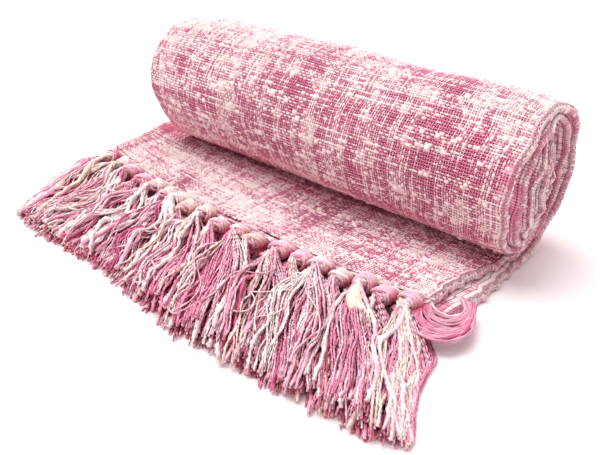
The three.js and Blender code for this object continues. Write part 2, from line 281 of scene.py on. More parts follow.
# The fringe's colours, how often a lock of each kind has them, and how many of them a yarn may
# change to along its length
FRINGE_COLORS = (
    FRINGE_PINK, FRINGE_DEEP_PINK, FRINGE_LIGHT_PINK, FRINGE_WHITE, FRINGE_CREAM, FRINGE_SALMON,
)
COLOR_SHARES = [
    (0.46, 0.05, 0.32, 0.14, 0.02, 0.01),
    (0.01, 0.0, 0.10, 0.56, 0.32, 0.01),
    (0.18, 0.02, 0.32, 0.32, 0.13, 0.03),
]
CHANGED_COLORS = 4

# What is left of red, green and blue
PLY_SHADE = np.array([0.96, 0.83, 0.87])  # in a yarn's second ply
YARN_SHADE = np.array([0.84, 0.34, 0.46])  # painted shade deep in the pile
CREASE_LIGHT = np.array([0.98, 0.58, 0.66])  # painted shade, tinted pink, in the crease under the roll
FOLD_SHADE = np.array([0.26, 0.07, 0.12])  # painted shade between the folds at the roll's ends
FLOAT_FOOT_SHADE = np.array([0.81, 0.69, 0.73])  # painted shade at the foot of a raised yarn

low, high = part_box("throw")
SHIFT = np.array([low.x * 1000 + HEADER_REACH, high.y * 1000 - BACK_REACH, 0.0])
random = np.random.RandomState(20)


def to_frame(points):
    """Points in the throw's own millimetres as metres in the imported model's frame."""
    return (np.asarray(points, float) + SHIFT) / 1000


def linear(color):
    """An sRGB hex colour as linear red, green, blue and alpha."""
    parts = [int(color[i : i + 2], 16) / 255 for i in (1, 3, 5)]
    return [c / 12.92 if c <= 0.04045 else ((c + 0.055) / 1.055) ** 2.4 for c in parts] + [1.0]


def smoothstep(value, start, end):
    share = np.clip((value - start) / (end - start), 0, 1)
    return share * share * (3 - 2 * share)


def soft_noise(shape, cells):
    """Smooth unevenness of about -1 to 1 over a table, with a change every so many cells."""
    def weights(count, step):
        if step <= 1:
            return np.eye(count)
        knots = int(count / step) + 3
        place = np.arange(count) / step + random.uniform(0, 1)
        base = np.floor(place).astype(int)
        share = place - base
        share = share * share * (3 - 2 * share)
        table = np.zeros((count, knots))
        table[np.arange(count), base] = 1 - share
        table[np.arange(count), base + 1] += share
        return table
    rows = weights(shape[0], cells[0])
    columns = weights(shape[1], cells[1])
    return rows @ random.normal(0, 0.6, (rows.shape[1], columns.shape[1])) @ columns.T


# Shape of the folded and rolled cloth

def front_edge_y(x):
    bow = np.where(x < FRONT_MIDDLE_X, FRONT_BOW_LEFT, FRONT_BOW_RIGHT)
    return FRONT_Y + bow * ((x - FRONT_MIDDLE_X) / FRONT_HALF_WIDTH) ** 2


def edge_x(name, turn):
    """Where a fold or free edge lies along X, with the table's corners rounded."""
    softened = sum(
        np.interp(turn + step * EDGE_SOFTNESS, EDGE_TABLE["turn"], EDGE_TABLE[name])
        for step in (-1, -0.5, 0, 0.5, 1)
    ) / 5
    phase = EDGE_NAMES.index(name) * 1.9
    wave = np.sin(turn * 31 + phase) + 0.6 * np.sin(turn * 67 + 2.3 * phase)
    return softened + FOLD_WAVE * wave * smoothstep(turn, -0.98, -0.8)


def looseness(turn, x):
    """How far the roll swells out (+) or sinks in, alike for all its turns."""
    angle = 2 * np.pi * turn
    free = 1 - smoothstep(np.cos(angle), 0.55, 0.95)
    swell = (
        0.8 * np.sin(x / 31 + 1.1) * np.cos(angle + 0.5)
        + 0.7 * np.sin(x / 19 + 2 * angle)
        + 0.5 * np.sin(x / 53 - 3 * angle + 1)
    )
    right_end = RIGHT_END_PULL * smoothstep(x, 298, 336)
    left_end = LEFT_END_PULL * smoothstep(-x, -34, 6)
    return (swell - right_end - left_end) * free


def path_point(turn, x, depth):
    """A point of the folded band. Depth runs from the outside of the roll inwards."""
    turn, x, depth = np.broadcast_arrays(np.asarray(turn, float), x, depth)
    flat_y = front_edge_y(x) * -turn
    puff = 0.05 * (np.sin(x / 27 + flat_y / 19) + np.sin(x / 41 - flat_y / 13 + 2))
    flat_z = depth * (1 + puff * smoothstep(-turn, 0.05, 0.3))
    angle = 2 * np.pi * turn
    radius = ROLL_RADIUS - PITCH * turn - depth + looseness(turn, x)
    rolled = turn > 0
    y = np.where(rolled, radius * np.sin(angle), flat_y)
    z = np.where(rolled, ROLL_RADIUS - radius * np.cos(angle), flat_z)
    return np.stack([x, y, z], -1)


def section_point(turn, part, share, ply, lift):
    """X and depth of a point of the section. Lift is height over the ply's middle, outwards."""
    outer_fold = edge_x("outer_fold", turn) - FOLD_REACH
    inner_fold = edge_x("inner_fold", turn) - FOLD_REACH
    middle_fold = edge_x("middle_fold", turn) + FOLD_REACH
    sheet = part // 2
    if part % 2 == 0:
        starts = (edge_x("outer_edge", turn), outer_fold, middle_fold, inner_fold)
        ends = (outer_fold, middle_fold, inner_fold, edge_x("inner_edge", turn))
        faces_out = 1 if sheet % 2 == 0 else -1
        ply_side = faces_out if ply == OUTER_PLY else -faces_out
        middle = sheet * SHEET_STEP + SHEET / 2
        x = starts[sheet] + (ends[sheet] - starts[sheet]) * share
        return x, middle - ply_side * (PLY_PITCH / 2 + lift)
    side = -1 if part == LEFT_FOLD else 1
    centre = (outer_fold, middle_fold, inner_fold)[sheet]
    outside = (ply == OUTER_PLY) == (side == 1)
    radius = SHEET_STEP / 2 + (PLY_PITCH / 2 + lift) * (1 if outside else -1)
    angle = np.pi * share
    depth = sheet * SHEET_STEP + SHEET / 2 + SHEET_STEP / 2 - radius * np.cos(angle)
    return centre + side * radius * np.sin(angle), depth


def cloth_point(turn, part, share, ply, lift=0.0):
    x, depth = section_point(turn, part, share, ply, lift)
    return path_point(turn, x, depth)


def turn_at(length):
    """The turn at a length along the band, which is negative in the flat stretch."""
    rolled = np.maximum(length, 0) / (2 * np.pi)
    on_roll = (ROLL_RADIUS - np.sqrt(ROLL_RADIUS**2 - 2 * PITCH * rolled)) / PITCH
    return np.where(length < 0, length / FLAT_LENGTH, on_roll)


def length_at(turn):
    on_roll = 2 * np.pi * (ROLL_RADIUS * turn - PITCH * turn * turn / 2)
    return np.where(turn < 0, turn * FLAT_LENGTH, on_roll)


# Meshes and objects

def new_object(name, mesh, material, slot, *nodes):
    piece = bpy.data.objects.new(name, mesh)
    bpy.context.scene.collection.objects.link(piece)
    mesh.materials.append(material)
    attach(piece, "root")
    if nodes:
        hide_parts(*nodes)
    return piece


def mesh_from_arrays(name, points, faces):
    """A smooth mesh from points in the throw's own frame and faces of one size."""
    mesh = bpy.data.meshes.new(name)
    count, corners = faces.shape
    mesh.vertices.add(len(points))
    mesh.vertices.foreach_set("co", to_frame(points).astype(np.float32).ravel())
    mesh.loops.add(count * corners)
    mesh.loops.foreach_set("vertex_index", faces.astype(np.int32).ravel())
    mesh.polygons.add(count)
    mesh.polygons.foreach_set("loop_start", np.arange(count, dtype=np.int32) * corners)
    mesh.update(calc_edges=True)
    mesh.validate()
    mesh.shade_smooth()
    return mesh


def set_uv(mesh, name, uv_of_corners):
    layer = mesh.uv_layers.new(name=name)
    layer.data.foreach_set("uv", uv_of_corners.astype(np.float32).ravel())


def set_value(mesh, name, values):
    layer = mesh.attributes.new(name, "FLOAT", "POINT")
    layer.data.foreach_set("value", values.astype(np.float32))


def set_tint(mesh, name, colors):
    """A linear colour for each vertex."""
    layer = mesh.attributes.new(name, "FLOAT_COLOR", "POINT")
    rgba = np.ones((len(colors), 4), np.float32)
    rgba[:, :3] = colors[:, :3]
    layer.data.foreach_set("color", rgba.ravel())


# The cloth as one thin sheet

def cloth_columns():
    """Part of the section and share along it for each column of the sheet's grid."""
    counts = {
        SHEET_1: 52, RIGHT_FOLD_1: 8, SHEET_2: 8, LEFT_FOLD: 8,
        SHEET_3: 8, RIGHT_FOLD_2: 8, SHEET_4: 52,
    }
    columns = [(part, i / count) for part, count in counts.items() for i in range(count)]
    return columns + [(SHEET_4, 1.0)]


def cloth_rows():
    """Turn of each row of the grid, inwards along the outer ply and back along the inner one."""
    outer = np.concatenate([
        np.linspace(-1, 0, 21), np.arange(1, 74) / 70, np.arange(26, 82) / 24, [ROLL_TURNS]
    ])
    inner = np.concatenate([
        np.linspace(-1, 0, 9), np.arange(1, 82) / 24, [ROLL_TURNS]
    ])
    return outer, inner[::-1]


def whiteness(tables, columns, turn):
    """How white the yarns around each row and column of the sheet's grid are."""
    first = np.array([first_warp(p) for p, _ in columns])
    warps = np.array([WARPS_IN_FOLD if p % 2 else WARPS_IN_SHEET for p, _ in columns])
    share = np.array([s for _, s in columns])
    column = (first + share * warps)[None]
    pick = ((length_at(turn) + FLAT_LENGTH) / WEFT_PITCH)[:, None]
    white = np.zeros((len(turn), len(columns)))
    for step in (-1, 0, 1):
        c = np.clip(column + step, 0, tables["warps"] - 1).astype(int)
        p = np.clip(pick + step, 0, tables["picks"] - 1).astype(int)
        white += (tables["warp"][0][c, p] + tables["weft"][0][c, p]) / 6
    return white


def sheet_grid(name, rows, across):
    """A grid as a mesh, with the row and the column of each of its points."""
    grid = bmesh.new()
    bmesh.ops.create_grid(grid, x_segments=across - 1, y_segments=rows - 1, size=1)
    mesh = bpy.data.meshes.new(name)
    grid.to_mesh(mesh)
    grid.free()
    start = np.zeros(len(mesh.vertices) * 3, np.float32)
    mesh.vertices.foreach_get("co", start)
    start = start.reshape(-1, 3)
    column = np.rint((start[:, 0] + 1) / 2 * (across - 1)).astype(int)
    row = np.rint((start[:, 1] + 1) / 2 * (rows - 1)).astype(int)
    return mesh, row, column


def folded_cloth(tables, material):
    """The cloth laid on its folds: its outer ply rolled up, and its inner ply back again."""
    columns = cloth_columns()
    outer, inner = cloth_rows()
    points = np.concatenate([
        np.stack([cloth_point(turns, part, share, ply) for part, share in columns], 1)
        for ply, turns in ((OUTER_PLY, outer), (INNER_PLY, inner))
    ])
    white = np.concatenate([whiteness(tables, columns, turns) for turns in (outer, inner)])
    mesh, row, column = sheet_grid("throw_cloth", *points.shape[:2])
    mesh.vertices.foreach_set("co", to_frame(points[row, column]).astype(np.float32).ravel())

    weft_mm = np.concatenate([length_at(outer), 2 * length_at(ROLL_TURNS) - length_at(inner)])
    warp_mm = np.array([(part + share) / 2 * CLOTH_WIDTH / SHEETS for part, share in columns])
    corner = np.zeros(len(mesh.loops), np.int32)
    mesh.loops.foreach_get("vertex_index", corner)
    set_uv(mesh, "cloth_mm", np.stack([warp_mm[column], weft_mm[row]], -1)[corner])

    part = np.array([part for part, _ in columns])[column]
    turn = np.concatenate([outer, inner])[row]
    # Where the raised yarns lie, the sheet is given painted shade all over
    covered = (row < len(outer)) & (
        ((part == SHEET_1) & (turn > 0.02) & (turn < 1.02)) | ((part == SHEET_4) & (turn < 0))
    )
    set_value(mesh, "under_yarns", covered)
    set_value(mesh, "whiteness", white[row, column])
    mesh.shade_smooth()
    piece = new_object("throw_cloth", mesh, material, "slub_cloth", "throw")
    thick = piece.modifiers.new("cloth thickness", "SOLIDIFY")
    thick.thickness = PLY / 1000
    thick.offset = 0
    return piece


# The weave: each place where a yarn passes over the other is a small raised float

def float_shape():
    """One float: a cube whose top is drawn together into a ridge along its length."""
    shape = bmesh.new()
    bmesh.ops.create_cube(shape, size=2)
    for vert in shape.verts:
        if vert.co.z > 0:
            vert.co.y = 0
            vert.co.x *= 0.5
    bmesh.ops.remove_doubles(shape, verts=shape.verts, dist=1e-4)
    bmesh.ops.triangulate(shape, faces=shape.faces)
    shape.verts.index_update()
    points = np.array([v.co for v in shape.verts])
    faces = np.array([[v.index for v in f.verts] for f in shape.faces])
    shape.free()
    return points, faces


def charted_white(warps, picks):
    """The chart of the cloth's whiteness, for each warp and pick."""
    turn = turn_at((np.arange(picks) + 0.5) * WEFT_PITCH - FLAT_LENGTH)
    sheet, place = np.divmod(np.arange(warps), WARPS_IN_SHEET + WARPS_IN_FOLD)
    share = np.clip(place / WARPS_IN_SHEET, 0, 1)
    x = CHART_X[-1] * np.where(sheet % 2 == 0, share, 1 - share)
    rows = np.array([np.interp(x, CHART_X, row) for _, *row in WHITE_CHART])
    charted_turns = [row[0] for row in WHITE_CHART]
    return np.array([np.interp(turn, charted_turns, column) for column in rows.T])


def yarn_stretches(charted, group, stretch, beading, slubbing):
    """How white each yarn is along its length, from 0 to 1, and how thick."""
    yarns, cells = charted.shape
    beads = soft_noise((yarns, cells), (1, 2.0))
    lines = soft_noise((yarns, cells), (1, stretch * 2.6))
    blocks = soft_noise((yarns, cells), (group, stretch))
    uneven = beading * beads + 0.8 * lines + 0.52 * blocks
    white = smoothstep(uneven + charted, WHITE_FROM, WHITE_TO)
    slub = np.maximum(0, soft_noise((yarns, cells), (1, 1.5)) - 0.1)
    thick = 0.62 + 0.26 * white + slubbing * slub * (0.08 + white)
    return white, thick


def weave_tables():
    """How white and how thick each warp and weft is at each crossing."""
    warps = SHEETS * WARPS_IN_SHEET + 3 * WARPS_IN_FOLD
    picks = int((FLAT_LENGTH + length_at(ROLL_TURNS)) / WEFT_PITCH)
    charted = charted_white(warps, picks)
    warp = yarn_stretches(charted, *WARP_UNEVEN)
    weft = yarn_stretches(charted.T, *WEFT_UNEVEN)
    return {"warp": warp, "weft": (weft[0].T, weft[1].T), "warps": warps, "picks": picks}


def first_warp(part):
    return (part // 2) * (WARPS_IN_SHEET + WARPS_IN_FOLD) + (part % 2) * WARPS_IN_SHEET


def float_cells(tables):
    """Part, ply, warp within the part and pick of each cell whose yarns are raised."""
    last_flat = int(FLAT_LENGTH / WEFT_PITCH)
    outer_end = last_flat + int(length_at(1.0) / WEFT_PITCH)
    stretches = [
        (SHEET_1, OUTER_PLY, last_flat + 3, outer_end),
        (SHEET_4, OUTER_PLY, 0, last_flat - 1),
        (RIGHT_FOLD_1, OUTER_PLY, 0, tables["picks"]),
        (RIGHT_FOLD_2, OUTER_PLY, 0, tables["picks"]),
        (LEFT_FOLD, INNER_PLY, 0, tables["picks"]),
    ]
    for part, ply, start, end in stretches:
        warps = WARPS_IN_SHEET if part % 2 == 0 else WARPS_IN_FOLD
        warp, pick = np.meshgrid(np.arange(warps), np.arange(start, end), indexing="ij")
        yield part, ply, warps, warp.ravel(), pick.ravel()


def yarn_color(white, number):
    """Linear colours from deep pink to white or cream, by whiteness and a random number."""
    stops = np.array([linear(c)[:3] for c in (DEEP_PINK, PINK, LIGHT_PINK, WHITE)])
    cream = np.array(linear(CREAM)[:3])
    place = np.clip(0.38 + 0.66 * white + 0.26 * (number - 0.5), 0, 1) * 3
    base = np.clip(place.astype(int), 0, 2)
    share = (place - base)[:, None]
    color = stops[base] * (1 - share) + stops[base + 1] * share
    warm = (0.5 * white * (np.modf(number * 7.3)[0] > 0.55))[:, None]
    return color * (1 - warm) + cream * warm


def crease_light(turn):
    """Painted shade under the roll, pink as the light that reaches there is mostly thrown back by
    its pink yarns.
    """
    near = smoothstep(turn, -0.45, -0.1) * (turn < 0.1)
    near = near + smoothstep(turn, 0.78, 0.97) * (turn < 1.03)
    return 1 - near[:, None] * (1 - CREASE_LIGHT)


def floats(name, kind, tables, material):
    """All the floats of the warp or of the weft as one mesh."""
    shape, faces = float_shape()
    white_table, thick_table = tables[kind]
    over_warp = kind == "warp"
    half_length = FLOAT_HALF_LENGTH * (WEFT_PITCH if over_warp else WARP_PITCH)
    half_width = FLOAT_HALF_WIDTH * (WARP_PITCH if over_warp else WEFT_PITCH)
    points = []
    colors = []
    for part, ply, warps, warp, pick in float_cells(tables):
        over = (warp + pick) % 2 == (0 if over_warp else 1)
        warp, pick = warp[over], pick[over]
        column = warp + first_warp(part)
        white = white_table[column, pick]
        thick = thick_table[column, pick]
        if part % 2:
            white = np.where(pick * WEFT_PITCH < FLAT_LENGTH, 0.6, 1.05) * white + 0.08
        longer, higher, _ = random.uniform(-1, 1, (3, len(warp)))
        length = half_length * (0.9 + 0.25 * thick + 0.08 * longer)
        width = half_width * thick
        height = FLOAT_RISE * thick + 0.04 * higher
        along = length[:, None] * shape[None, :, 0]
        across = width[:, None] * shape[None, :, 1]
        up = np.where(shape[None, :, 2] > 0, height[:, None], -FLOAT_SINK)
        if not over_warp:
            along, across = across, along
        at = (pick[:, None] + 0.5) * WEFT_PITCH - FLAT_LENGTH + along
        face_width = WARP_PITCH * warps
        share = (warp[:, None] + 0.5) / warps + across / face_width
        turn = turn_at(np.minimum(at, length_at(ROLL_TURNS)))
        placed = cloth_point(turn, part, np.clip(share, 0, 1), ply, PLY / 2 + up)
        placed[..., 2] = np.maximum(placed[..., 2], FLOOR_CLEAR)
        points.append(placed.reshape(-1, 3))
        tint = yarn_color(white, random.uniform(0, 1, len(warp)))
        if part % 2 == 0:
            # Painted shade in the crease under the roll and at the roll's lower front
            tint = tint * crease_light(turn.mean(1))
        else:
            # Painted shade between the folds: darkest at a fold's sides, where it meets the next
            sunk = np.abs((warp + 0.5) / warps - 0.5) * 2
            tint = tint * (1 - sunk[:, None] ** 1.5 * (1 - FOLD_SHADE))
        # Painted shade: the foot of each float is darker than its top
        lit = np.where(shape[:, 2:] > 0, 1.0, FLOAT_FOOT_SHADE)
        colors.append((tint[:, None] * lit).reshape(-1, 3))
    points = np.concatenate(points)
    count = len(points) // len(shape)
    all_faces = (faces[None] + (np.arange(count) * len(shape))[:, None, None]).reshape(-1, 3)
    mesh = mesh_from_arrays(name, points, all_faces)
    set_tint(mesh, "yarn_tint", np.concatenate(colors))
    return new_object(name, mesh, material, "slub_cloth")


# The fringe: wavy slub yarns in combed locks, knotted in bundles, lying on each other in a pile

class Pile:
    """Height of what already lies on the surface, on a grid of 1 mm."""

    def __init__(self):
        self.origin = np.array([-60.0, -240.0])
        self.height = np.zeros((480, 200))

    def cells(self, xy):
        cell = np.rint(xy - self.origin).astype(int)
        return np.clip(cell, 0, np.array(self.height.shape) - 1)

    def top(self, xy):
        cell = self.cells(xy)
        return self.height[cell[..., 0], cell[..., 1]]

    def under(self, xy, reach):
        """The highest place within reach of each point."""
        found = np.zeros(len(xy))
        for dx in (-reach, 0, reach):
            for dy in (-reach, 0, reach):
                found = np.maximum(found, self.top(xy + (dx, dy)))
        return found

    def level(self):
        """Averages the height over 7 mm, as the light comes in from the sides too."""
        self.around = self.height
        for axis in (0, 1):
            self.around = sum(np.roll(self.around, step, axis) for step in range(-3, 4)) / 7

    def add(self, xy, top, reach):
        for dx in np.arange(-reach, reach + 0.1, 1.0):
            for dy in np.arange(-reach, reach + 0.1, 1.0):
                cell = self.cells(xy + (dx, dy))
                np.maximum.at(self.height, (cell[:, 0], cell[:, 1]), top)


class Yarns:
    """Yarns laid so far: paths, radii, two colours and the length of a twist for each."""

    def __init__(self):
        self.rows = []

    def lay(self, path, radius, color, ply_color, twist):
        self.rows.append((path, radius, color, ply_color, twist))

    def arrays(self):
        return [np.array(column) for column in zip(*self.rows)]


def tube_rings(paths, radii, spin, sides, ref):
    """Points of the twisted, slightly oval rings along each path."""
    tangent = np.gradient(paths, axis=1)
    tangent /= np.linalg.norm(tangent, axis=2, keepdims=True) + 1e-9
    across = np.cross(tangent, np.asarray(ref, float))
    across /= np.linalg.norm(across, axis=2, keepdims=True) + 1e-9
    upward = np.cross(across, tangent)
    around = 2 * np.pi * np.arange(sides) / sides
    a = radii[..., None] * (1 + YARN_OVAL) * np.cos(around)
    b = radii[..., None] * (1 - YARN_OVAL) * np.sin(around)
    turn_a = np.cos(spin)[..., None] * a - np.sin(spin)[..., None] * b
    turn_b = np.sin(spin)[..., None] * a + np.cos(spin)[..., None] * b
    rings = (
        paths[:, :, None] + turn_a[..., None] * across[:, :, None]
        + turn_b[..., None] * upward[:, :, None]
    )
    rings[..., 2] = np.maximum(rings[..., 2], FLOOR_CLEAR)
    return rings


def tube_faces(count, stations, sides):
    """Triangles of the walls and of both ends of each tube."""
    yarn, station, side = np.meshgrid(
        np.arange(count), np.arange(stations - 1), np.arange(sides), indexing="ij"
    )
    here = (yarn * stations + station) * sides
    beside = (side + 1) % sides
    walls = np.stack([
        here + side, here + beside, here + sides + beside, here + sides + side
    ], -1).reshape(-1, 4)
    faces = [walls[:, [0, 1, 2]], walls[:, [0, 2, 3]]]
    for end, order in ((0, -1), (stations - 1, 1)):
        first = (np.arange(count) * stations + end) * sides
        for corner in range(1, sides - 1):
            cap = np.stack([first, first + corner, first + corner + 1], -1)
            faces.append(cap[:, ::order])
    return np.concatenate(faces)


def yarn_mesh(name, yarns, pile, sides=4, ref=(0, 0, 1)):
    """Many yarns as one mesh of closed tubes, with painted shade where they lie deep in the pile.
    """
    paths, radii, color, ply_color, twist = yarns.arrays()
    for _ in range(2):
        paths[:, 1:-1] = 0.5 * paths[:, 1:-1] + 0.25 * (paths[:, :-2] + paths[:, 2:])
    count, stations = radii.shape
    step = np.linalg.norm(np.diff(paths, axis=1), axis=2)
    along = np.concatenate([np.zeros((count, 1)), np.cumsum(step, 1)], 1)
    turns = along / twist[:, None]
    spin = np.pi * turns + random.uniform(0, 6, (count, 1))
    rings = tube_rings(paths, radii, spin, sides, ref)
    faces = tube_faces(count, stations, sides)
    mesh = mesh_from_arrays(name, rings.reshape(-1, 3), faces)

    u = np.tile(np.arange(sides), count * stations) / sides
    v = np.repeat(turns.ravel(), sides)
    corner_u = u[faces]
    wraps = (corner_u.max(1) - corner_u.min(1)) > 0.5
    corner_u = np.where(wraps[:, None] & (corner_u < 0.5), corner_u + 1, corner_u)
    set_uv(mesh, "ply_turns", np.stack([corner_u, v[faces]], -1))
    lit = sunk_light(rings, pile)
    set_tint(mesh, "yarn_color", (color[:, :, None] * lit).reshape(-1, 3))
    set_tint(mesh, "ply_color", (ply_color[:, :, None] * lit).reshape(-1, 3))
    return mesh


def sunk_light(points, pile):
    """Painted shade: how much of each colour is left at points that lie below the top of the pile.
    """
    cell = pile.cells(points[..., :2])
    depth = pile.around[cell[..., 0], cell[..., 1]] - points[..., 2]
    share = 1 - np.exp(-np.maximum(0, depth - SHADE_FROM) / SHADE_DEPTH)
    return 1 - share[..., None] * (1 - YARN_SHADE)


def yarn_colors(kind, count):
    """Linear colours for the yarns of one lock, most of them alike, and for their second ply."""
    stops = np.array([linear(c)[:3] for c in FRINGE_COLORS])
    pale = stops[FRINGE_COLORS.index(FRINGE_LIGHT_PINK)]
    shares = COLOR_SHARES[kind]
    lock = random.choice(len(stops), p=shares)
    own = random.uniform(0, 1, count) >= 0.68
    pick = np.where(own, random.choice(len(stops), count, p=shares), lock)
    changes = random.uniform(0, 1, count) < 0.25
    later = np.where(changes, random.choice(CHANGED_COLORS, count), pick)
    change = smoothstep(np.arange(STATIONS)[None], 14, 17) * np.ones((count, 1))
    change = np.roll(change, random.randint(0, 16), 1) * (np.arange(STATIONS) >= BOUND_STATIONS)
    change = change[..., None]
    color = stops[pick][:, None] * (1 - change) + stops[later][:, None] * change
    shade = random.uniform(0.86, 1.06, (count, 1, 1))
    ply = np.where(random.uniform(0, 1, (count, 1, 1)) < 0.3, pale, color * PLY_SHADE)
    return np.clip(color * shade, 0, 1), np.clip(ply * shade, 0, 1)


def tip_y(x):
    return np.interp(x, TIP_X, TIP_Y)


def within_tips(x):
    """Gathers the tips that would fall outside the fringe's two front corners."""
    x = np.where(x < LEFT_TIP_X, LEFT_TIP_X + LEFT_TIP_GIVE * (x - LEFT_TIP_X), x)
    return np.where(x > RIGHT_TIP_X, RIGHT_TIP_X + RIGHT_TIP_GIVE * (x - RIGHT_TIP_X), x)


def side_x(y):
    """The fringe's left and right outlines."""
    return np.interp(y, SIDE_Y, LEFT_SIDE), np.interp(y, SIDE_Y, RIGHT_SIDE)


def within_sides(plan):
    """Gathers the yarns that would stray past the fringe's left and right outlines."""
    x, y = plan.T
    left, right = side_x(y)
    x = np.where(x < left, left + SIDE_GIVE * (x - left), x)
    return np.column_stack([np.where(x > right, right + SIDE_GIVE * (x - right), x), y])


def evened(heights, weights):
    """Heights along a yarn, each averaged with its neighbours."""
    return np.convolve(np.pad(heights, len(weights) // 2, mode="edge"), weights, "valid")


def rest_on(pile, path, radius, start_z, drop):
    """Lets a yarn sink onto the pile from the height at which it leaves its knot."""
    stations = len(path)
    ground = pile.under(path[:, :2], radius * 0.6) + radius * 0.9
    resting = np.maximum(radius, evened(ground, [0.06, 0.12, 0.2, 0.24, 0.2, 0.12, 0.06]))
    left, right = side_x(path[:, 1])
    inside = np.maximum(0, np.minimum(path[:, 0] - left, right - path[:, 0]))
    resting = np.minimum(resting, SIDE_HEIGHT + SIDE_SLOPE * inside)
    sunk = smoothstep(np.linspace(0, 1, stations), 0, drop)
    held = start_z + (resting - start_z) * sunk
    path[:, 2] = np.maximum(held, np.minimum(resting, start_z + 4))
    fine = np.linspace(0, stations - 1, stations * 4)
    dense = np.stack([np.interp(fine, np.arange(stations), path[:, i]) for i in range(3)], -1)
    pile.add(dense[:, :2], dense[:, 2] + radius * PILE_NESTING, radius * 0.6)


def crimp(sizes, cycles):
    """The fine waves that the weave has left in a yarn."""
    return random.uniform(*sizes) * np.sin(
        2 * np.pi * (random.uniform(*cycles) * FREE_SHARE + random.uniform())
    )


def lock_line(kx, fan, start):
    """Middle line of one lock from the knot to its tip, on the surface."""
    own_x = kx + fan * LOCK_SPREAD + random.normal(0, 2.0)
    end_x = within_tips(own_x + np.interp(kx, LEAN_X, LEAN) + random.normal(0, 4.5))
    end_y = tip_y(end_x) + random.normal(0, 2.2)
    size = random.uniform(4.0, 7.0) if random.uniform() < 0.2 else random.uniform(1.2, 3.8)
    cycles = random.uniform(1.0, 2.5) - 0.12 * size
    phase = 2 * np.pi * random.uniform()
    angle = 2 * np.pi * cycles * FREE_SHARE + phase
    wave = size * np.sin(angle) * smoothstep(FREE_SHARE, 0.03, 0.32)
    bulge = CORNER_BULGE * max(0.0, 1 - (own_x + 12) / CORNER_WIDTH)
    x = (
        start[0] + (own_x - start[0]) * smoothstep(FREE_SHARE, -0.05, 0.45)
        + (end_x - own_x) * FREE_SHARE - bulge * np.sin(np.pi * FREE_SHARE**0.55) + wave
    )
    sway = 0.4 * size * np.cos(angle) * np.sin(np.pi * FREE_SHARE)
    y = start[1] + (end_y - start[1]) * FREE_SHARE + sway
    x = x + crimp((0.2, 0.8), (3.5, 7.5)) * smoothstep(FREE_SHARE, 0, 0.15)
    return np.stack([x, y], -1)


def through_knot(kx, ky, kz, size, place, number, upper):
    """A yarn's path through its knot: every third one lies deep in it."""
    width, length, height = size
    in_knot = np.linspace(0, 1, KNOT_STATIONS)
    angle = np.pi * (0.5 - place) * upper + KNOT_TWIST * in_knot
    girth = (0.5 + 0.5 * np.sin(np.pi * in_knot) ** 0.7) * (0.45 if number % 3 == 2 else 0.9)
    return np.stack([
        kx + girth * np.cos(angle) * width / 2,
        ky + length * (0.5 - in_knot),
        kz + girth * np.sin(angle) * height / 2,
    ], -1)


def drawn_together(kx, sheet, place, knot_start):
    """A yarn's path from the cloth's edge to where it goes into its knot."""
    in_neck = np.linspace(0, 1, NECK_STATIONS, endpoint=False)
    x = min(kx + place * KNOT_PITCH, CLOTH_RIGHT)
    start = np.array([
        x, front_edge_y(x) + 1.5,
        sheet * SHEET_STEP + SHEET / 2 + random.uniform(-0.8, 0.8),
    ])
    neck = start + (knot_start - start) * smoothstep(in_neck, -0.1, 1.05)[:, None]
    neck[:, 1] = start[1] + (knot_start[1] - start[1]) * in_neck
    return neck


def beside_lock(middle, start, beside, radius):
    """A yarn's own line beside the middle of its lock, joined to its knot."""
    heading = np.gradient(middle, axis=0)
    heading /= np.linalg.norm(heading, axis=1, keepdims=True)
    side = np.stack([-heading[:, 1], heading[:, 0]], -1)
    uneven = 1 + 0.3 * soft_noise((1, FREE_STATIONS), (1, 7))[0]
    gather = 0.4 + 0.6 * smoothstep(FREE_SHARE, 0, 0.25)
    apart = beside * radius * 1.9 * uneven * gather
    waves = crimp((0.1, 0.35), (4, 8))
    wander = 0.9 * soft_noise((1, FREE_STATIONS), (1, 8))[0]
    apart = apart + wander * smoothstep(FREE_SHARE, 0, 0.4)
    plan = middle + side * (apart + waves)[:, None]
    plan[:, 1] += random.normal(0, 1.8) * FREE_SHARE
    joined = smoothstep(FREE_SHARE, -0.03, 0.15)[:, None]
    return within_sides(start[:2] + (plan - start[:2]) * joined)


def slubbed(radius, lumps):
    """A yarn's radius at each station: uneven, with a slub here and there."""
    lumpy = 1 + lumps * soft_noise((1, STATIONS), (1, 2.6))[0]
    lumpy += lumps * np.maximum(0, soft_noise((1, STATIONS), (1, 4.5))[0] - 0.3)
    lumpy[:BOUND_STATIONS] *= 0.8
    return radius * np.clip(lumpy, 0.55, 1.8)


def lay_bundle(kx, sheet, knot_z, size, locks, pile, yarns):
    """One bundle: drawn together from the cloth's edge, through its knot and out in locks."""
    knot_y = front_edge_y(kx) - KNOT_SETBACK + random.uniform(-1.2, 1.2)
    for fan in ((random.permutation(locks) + 0.5) / locks) * 2 - 1:
        kind = random.choice(3, p=LOCK_SHARES)
        fewest, most, thin, thick, lumps, twist = LOCK_KINDS[kind]
        count = random.randint(fewest, most + 1)
        color, ply_color = yarn_colors(kind, count)
        for number in range(count):
            beside = number - (count - 1) / 2
            radius = random.uniform(thin, thick)
            place = np.clip(fan * 0.42 + beside * 0.035 + random.normal(0, 0.02), -0.49, 0.49)
            upper = 1 if (number + int(fan * 50)) % 2 == 0 else -1
            through = through_knot(kx, knot_y, knot_z, size, place, number, upper)
            neck = drawn_together(kx, sheet, place, through[0])
            if number == 0:
                middle = lock_line(kx, fan, through[-1])
            plan = beside_lock(middle, through[-1], beside, radius)
            out = np.column_stack([plan, np.zeros(FREE_STATIONS)])
            radii = slubbed(radius, lumps)
            rest_on(pile, out, radius, through[-1, 2], random.uniform(0.14, 0.3))
            yarns.lay(
                np.concatenate([neck, through, out]), radii,
                color[number], ply_color[number], twist * random.uniform(0.8, 1.2),
            )
    top = knot_z + size[2] * 0.35
    pile.add(np.array([[kx + dx, knot_y] for dx in range(-5, 6)]), top, 4)
    return knot_y


